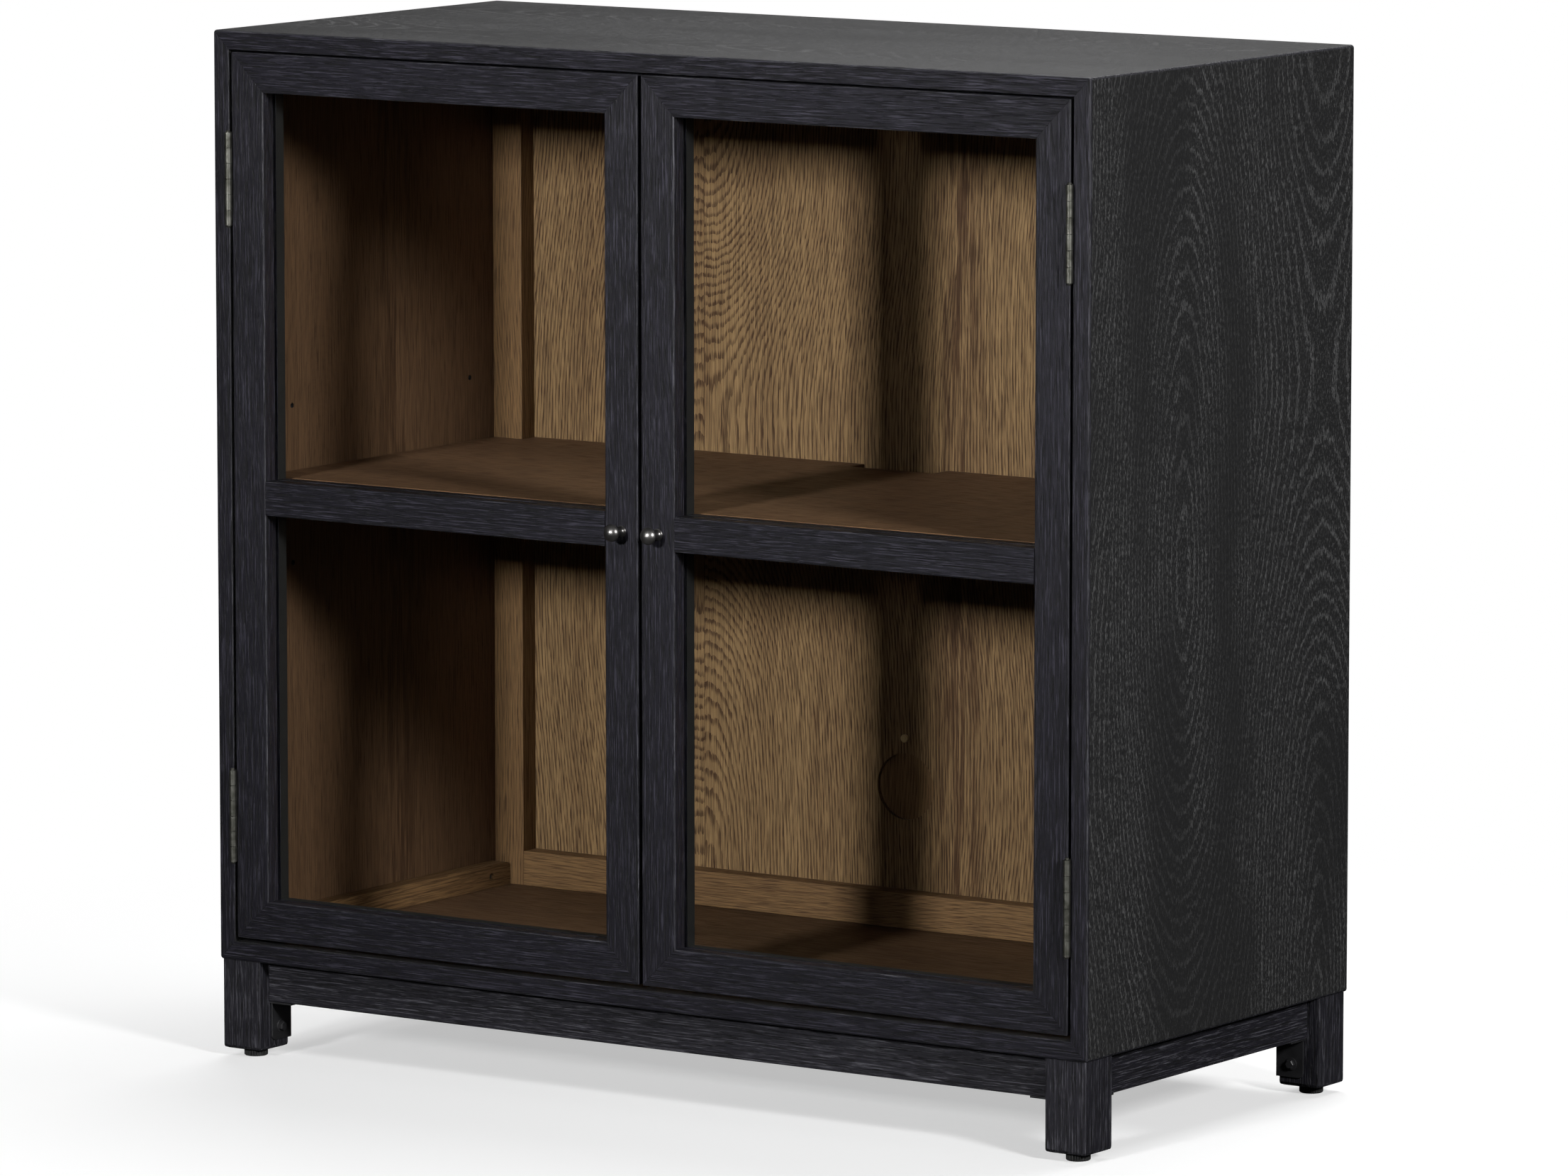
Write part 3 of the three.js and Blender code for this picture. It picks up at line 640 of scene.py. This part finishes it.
def make_inside():
    low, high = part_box("left_floor_cleat")
    from_end = 32 * MM
    screws = [Vector((high.x, y, (low.z + high.z) / 2)) for y in (low.y + from_end, high.y - from_end)]
    radius = 3.6 * MM
    hole = [(0, -5 * MM), (radius, -5 * MM), (radius, MM), (0, MM)]
    bm = bevelled(cad_copy("left_floor_cleat"), 0.7 * MM)
    bm = carved(bm, [facing(turned(hole, 24), p, X, 1) for p in screws])
    piece("left_floor_cleat_oak", bm, "cabinet", [BROWN[Y]], ["left_floor_cleat"])
    sunk = Vector((3 * MM, 0, 0))
    heads = merged(*[facing(screw_head(3.4 * MM), p - sunk, X, 1) for p in screws])
    piece("left_floor_cleat_screws", heads, "cabinet", [BLACK_STEEL])
    piece("shelf_oak", bevelled(cad_copy("shelf"), 0.9 * MM), "shelf", [SHELF_SHEET], ["shelf"])
    for end, _ in ENDS:
        for side, _ in SIDES:
            node = f"shelf_support_{end}_{side}"
            bm = bevelled(cad_copy(node), 0.25 * MM)
            piece(node + "_zinc", bm, "cabinet", [ZINC], [node])


# ---- Base ----

def make_base():
    for node, axis in {"apron_front": X, "apron_rear": X, "apron_left": Y, "apron_right": Y}.items():
        # Painted light: the aprons take the lighter floor-lit black, and their rounded edges the painted
        # arris highlight.
        bm = paint(bevelled(cad_copy(node), 1.2 * MM, 3), 1, slanted)
        piece(node + "_oak", bm, "cabinet", [FLOOR_LIT_BLACK[axis], ARRIS_HIGHLIGHT[axis]], [node])
    for end, sign_y in ENDS:
        for side, sign_x in SIDES:
            place = f"{end}_{side}"
            make_leg(place)
            make_leveller(place)
            make_bracket(place, sign_x, sign_y)


def make_leg(place):
    low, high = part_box("leg_" + place)
    bm = block(low, high)
    bevelled(bm, 4 * MM, 2, test=lambda c, d: c.z < low.z + MM)
    bevelled(bm, 1.8 * MM, 3, test=lambda c, d: abs(d.z) > 20 * MM)
    # Painted light: the leg takes the lighter floor-lit black, and its rounded edges the painted arris
    # highlight.
    paint(bm, 1, slanted)
    piece(f"leg_{place}_oak", bm, "cabinet", [FLOOR_LIT_BLACK[Z], ARRIS_HIGHLIGHT[Z]], ["leg_" + place])


def make_leveller(place):
    low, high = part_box("leveller_" + place)
    centre = Vector(((low.x + high.x) / 2, (low.y + high.y) / 2, 0))
    radius = (high.x - low.x) / 2
    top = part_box("leg_" + place)[0].z - 0.3 * MM
    ribs = 28
    points = ribs * 4
    levels = [(0.90, 0), (0.985, 0.7 * MM), (1.0, 1.4 * MM), (1.0, top - 1.2 * MM), (0.93, top)]
    rings = []
    for share, height in levels:
        ring = []
        for k in range(points):
            turn = 2 * math.pi * k / points
            groove = 0.55 * MM if k % 4 == 0 else 0.0
            reach = radius * share - groove
            ring.append(centre + Vector((reach * math.cos(turn), reach * math.sin(turn), height)))
        rings.append(ring)
    pad = lofted(rings)
    stem = turned([(0, top), (4 * MM, top), (4 * MM, high.z - MM), (3 * MM, high.z), (0, high.z)], 20)
    stem = facing(stem, centre, Z, 1)
    piece(f"leveller_{place}_moulding", merged(pad, stem), "leveller_" + place, [MOULDING],
          ["leveller_" + place])


def hex_bolt(centre, axis, sign):
    """A hexagon head on a washer, standing out of the surface along the axis."""
    wide, thick = 6.2 * MM, 1.2 * MM
    washer = turned([(0, 0), (wide, 0), (wide, 0.9 * MM), (5.8 * MM, thick), (0, thick)], 28)
    radius, high = 4.6 * MM, 4.6 * MM
    head = turned([(0, thick), (radius, thick), (radius, 4.0 * MM), (3.9 * MM, high), (0, high)], 6)
    return facing(merged(washer, head), centre, axis, sign)


def make_bracket(place, sign_x, sign_y):
    node = "leg_bracket_" + place
    bm = bevelled(cad_copy(node), 0.35 * MM)
    piece(node + "_steel", bm, "cabinet", [BLACK_STEEL], [node])
    leg_low, leg_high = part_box("leg_" + place)
    inner_x = leg_low.x if sign_x > 0 else leg_high.x
    inner_y = leg_low.y if sign_y > 0 else leg_high.y
    thickness = 2 * MM
    height = 30 * MM
    reach = 15 * MM
    on_x = Vector((inner_x - sign_x * thickness, inner_y + sign_y * reach, height))
    on_y = Vector((inner_x + sign_x * reach, inner_y - sign_y * thickness, height))
    bm = merged(hex_bolt(on_x, X, -sign_x), hex_bolt(on_y, Y, -sign_y))
    piece(f"leg_bolts_{place}_steel", bm, "cabinet", [BLACK_STEEL])


# ---- Doors ----

def door_section():
    groove = 4.6 * MM
    front = GLASS_FRONT + (GLASS_THICKNESS - groove) / 2
    deep = FRAME_WIDTH - 8 * MM
    return section([
        (0, 0, 1.4 * MM), (FRAME_WIDTH, 0, 1.8 * MM), (FRAME_WIDTH, front, 0), (deep, front, 0),
        (deep, front + groove, 0), (FRAME_WIDTH, front + groove, 0),
        (FRAME_WIDTH, DOOR_THICKNESS, 0.8 * MM), (0, DOOR_THICKNESS, 0.8 * MM),
    ])


def make_door(side, sign):
    body = side + "_door"
    low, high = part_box(side + "_door_bottom_rail")[0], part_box(side + "_door_top_rail")[1]
    outline = door_section()
    radius = 1.2 * MM
    hinge_x, meeting_x = (low.x, high.x) if sign < 0 else (high.x, low.x)
    bars = {
        "hinge_stile": (Z, (low.z, high.z), X, hinge_x, -sign),
        "meeting_stile": (Z, (low.z, high.z), X, meeting_x, sign),
        "top_rail": (X, (low.x, high.x), Z, high.z, -1),
        "bottom_rail": (X, (low.x, high.x), Z, low.z, 1),
    }
    for name, (along, ends, across, outer, inward) in bars.items():
        node = f"{side}_door_{name}"
        bm = frame_side(outline, along, ends, across, outer, inward, radius)
        opening = outer + inward * FRAME_WIDTH
        # The frame's faces behind the glass take the near-black.
        paint(bm, 1, lambda c, n: abs(c[across] - opening) < ON_PLANE and c.y > FRONT + GLASS_FRONT)
        # The faces that round the edges off take the painted arris highlight.
        paint(bm, 2, slanted)
        piece(node + "_oak", bm, body, [BLACK[along], BEHIND_GLASS_BLACK, ARRIS_HIGHLIGHT[along]], [node])
    node = side + "_door_mid_rail"
    bm = bevelled(cad_copy(node), 1.4 * MM, 3, test=lambda c, d: c.y < FRONT + 0.1 * MM and abs(d.x) > 0.1)
    # The faces that round the edges off take the painted arris highlight.
    paint(bm, 1, slanted)
    piece(node + "_oak", bm, body, [BLACK[X], ARRIS_HIGHLIGHT[X]], [node])
    for level in ("upper", "lower"):
        node = f"{side}_door_{level}_glass"
        piece(node + "_pane", bevelled(cad_copy(node), 0.3 * MM), body, [GLASS], [node])
    make_knob(side)


def make_knob(side):
    node = side + "_door_knob"
    low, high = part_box(node)
    centre = Vector(((low.x + high.x) / 2, high.y, (low.z + high.z) / 2))
    profile = [
        (0, 0), (5.6, 0), (5.6, 0.9), (5.3, 1.25), (4.9, 1.3), (4.9, 1.9), (4.5, 2.3), (3.8, 2.9), (3.4, 4),
        (3.2, 6), (3.3, 8.4), (3.8, 10.4), (4.8, 11.8), (6.2, 12.8), (7.5, 13.8), (8.2, 14.9), (8.4, 15.9),
        (8.2, 16.9), (7.7, 17.9), (6.9, 19), (5.6, 20.2), (4, 21.1), (2.1, 21.8), (0, 22),
    ]
    bm = facing(turned([(r * MM, h * MM) for r, h in profile], 48), centre, Y, -1)
    piece(node + "_metal", bm, side + "_door", [GUNMETAL], [node])


# ---- Hinges ----

def screw_head(radius):
    """A countersunk head with a square recess, its face at the origin looking along +Z."""
    bowl = turned([(0, -radius), (0.4 * radius, -radius), (radius, -0.12 * radius), (radius, 0), (0, 0)], 32)
    recess = turned([(0, -0.6 * radius), (0.45 * radius, 0.1 * radius), (0, 0.1 * radius)], 4)
    return carved(bowl, [recess])


def screw_seat(radius):
    """The cutter for a countersunk head's seat, a hair larger than the head."""
    wide = radius + 0.15 * MM
    deep = -0.9 * radius
    return turned([(0, deep), (0.5 * radius, deep), (wide, -0.12 * radius), (wide, MM), (0, MM)], 32)


def make_hinges():
    radius = 2.9 * MM
    screw_pitch = 30 * MM
    stagger = 4 * MM
    for side, sign in SIDES:
        for level in ("upper", "lower"):
            name = f"hinge_{level}_{side}_"
            piece(name + "pin_metal", bevelled(cad_copy(name + "pin"), 0.12 * MM, 1), "cabinet",
                  [HINGE_METAL], [name + "pin"])
            low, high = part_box(name + "pin")
            pin_x = (low.x + high.x) / 2
            middle = (low.z + high.z) / 2
            for part, looks in (("case_leaf", -sign), ("door_leaf", sign)):
                node = name + part
                plate_face = pin_x - looks * 0.25 * MM
                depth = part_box(node)[1].y - 11 * MM
                places = [Vector((plate_face, depth + (stagger if k else -stagger), middle + k * screw_pitch))
                          for k in (-1, 0, 1)]
                bm = bevelled(cad_copy(node), 0.12 * MM, 1)
                bm = carved(bm, [facing(screw_seat(radius), p, X, looks) for p in places])
                piece(node + "_metal", bm, BODY_OF[node], [HINGE_METAL], [node])
                heads = merged(*[facing(screw_head(radius), p, X, looks) for p in places])
                piece(node + "_screws", heads, BODY_OF[node], [HINGE_METAL])


# ---- Stage ----

STAGE_RADIUS = 24


def stage_object(name, bm, material):
    """Part of the surroundings, which only the camera sees."""
    mesh = bpy.data.meshes.new(name)
    bm.to_mesh(mesh)
    bm.free()
    mesh.materials.append(material)
    made = bpy.data.objects.new(name, mesh)
    bpy.context.scene.collection.objects.link(made)
    made.visible_diffuse = False
    made.visible_glossy = False
    made.visible_shadow = False


def white_glow(g):
    return g.node("Emission", {"Color": WHITE, "Strength": 1.0})


def floor_material():
    """Pale and faintly glossy under the cabinet, going over into the white of the backdrop further out."""
    g = Graph("stage_floor")
    near = g.node("BsdfPrincipled", {
        "Base Color": rgb(0.67, 0.67, 0.67), "Roughness": 0.22, "Specular IOR Level": 0.4,
        "Emission Color": WHITE, "Emission Strength": 0.5,
    })
    here = g.node("TexCoord").outputs["Object"]
    reach = g.node("VectorMath", {0: here}, operation="LENGTH").outputs["Value"]
    fade = g.range(reach, 0.62, 1.45)
    return g.ends_in(g.node("MixShader", {0: fade, 1: near.outputs[0], 2: white_glow(g).outputs[0]}))


def make_stage():
    bm = bmesh.new()
    bmesh.ops.create_circle(bm, cap_ends=True, segments=64, radius=STAGE_RADIUS)
    stage_object("stage_floor", bm, floor_material())
    bm = bmesh.new()
    bmesh.ops.create_uvsphere(bm, u_segments=48, v_segments=24, radius=STAGE_RADIUS)
    bmesh.ops.reverse_faces(bm, faces=bm.faces)
    g = Graph("stage_backdrop")
    stage_object("stage_backdrop", bm, g.ends_in(white_glow(g)))


def area_light(name, place, target, size, power, spread=180):
    data = bpy.data.lights.new(name, "AREA")
    data.shape = "RECTANGLE"
    data.spread = math.radians(spread)
    data.size, data.size_y = size
    data.energy = power
    made = bpy.data.objects.new(name, data)
    made.location = place
    made.rotation_mode = "QUATERNION"
    made.rotation_quaternion = (Vector(target) - Vector(place)).to_track_quat("-Z", "Y")
    made.visible_camera = False
    bpy.context.scene.collection.objects.link(made)
    return made


def light_from(name, middle, direction, distance, size, power, spread=180, aimed_over=0.0):
    """A square light so far away in a direction, aimed at or over the middle."""
    place = middle + Vector(direction).normalized() * distance
    return area_light(name, place, middle + Vector((0, 0, aimed_over)), (size, size), power, spread)


def make_lights():
    middle = Vector((0, FRONT, 0.6))
    light_from("key", middle, direction=(0.02, -1, 0.26), distance=6.0, size=0.68, power=24.0,
               spread=45, aimed_over=0.35)
    light_from("side_fill", middle, direction=(2.8, -1, 1.0), distance=5.0, size=0.75, power=240)
    rear_fill = light_from("rear_fill", middle, direction=(-1.5, 1.6, 1.5), distance=5.0, size=1.5, power=45)
    rear_fill.visible_glossy = False
    area_light("overhead", place=(0.0, 1.4, 3.6), target=(0, 0.2, 0.5), size=(3.0, 2.4), power=142)
    world = bpy.data.worlds.new("studio")
    bpy.context.scene.world = world
    world.use_nodes = True
    background = world.node_tree.nodes["Background"]
    background.inputs["Color"].default_value = WHITE
    background.inputs["Strength"].default_value = 0.018


def make_camera():
    """The photograph's own view, from the right and far away."""
    place = (5.2835, -7.6950, 1.7273)
    looks_along = Vector((-0.5600, 0.8178, -0.1332))
    data = bpy.data.cameras.new("camera")
    data.sensor_width = 36
    data.lens = 226.04
    data.clip_end = 200
    camera = bpy.data.objects.new("camera", data)
    camera.location = place
    camera.rotation_mode = "QUATERNION"
    camera.rotation_quaternion = looks_along.to_track_quat("-Z", "Y")
    bpy.context.scene.collection.objects.link(camera)
    bpy.context.scene.camera = camera


bpy.context.scene.view_settings.view_transform = "Standard"
make_case()
make_back()
make_inside()
make_base()
for door_side, door_sign in SIDES:
    make_door(door_side, door_sign)
make_hinges()
make_stage()
make_lights()
make_camera()
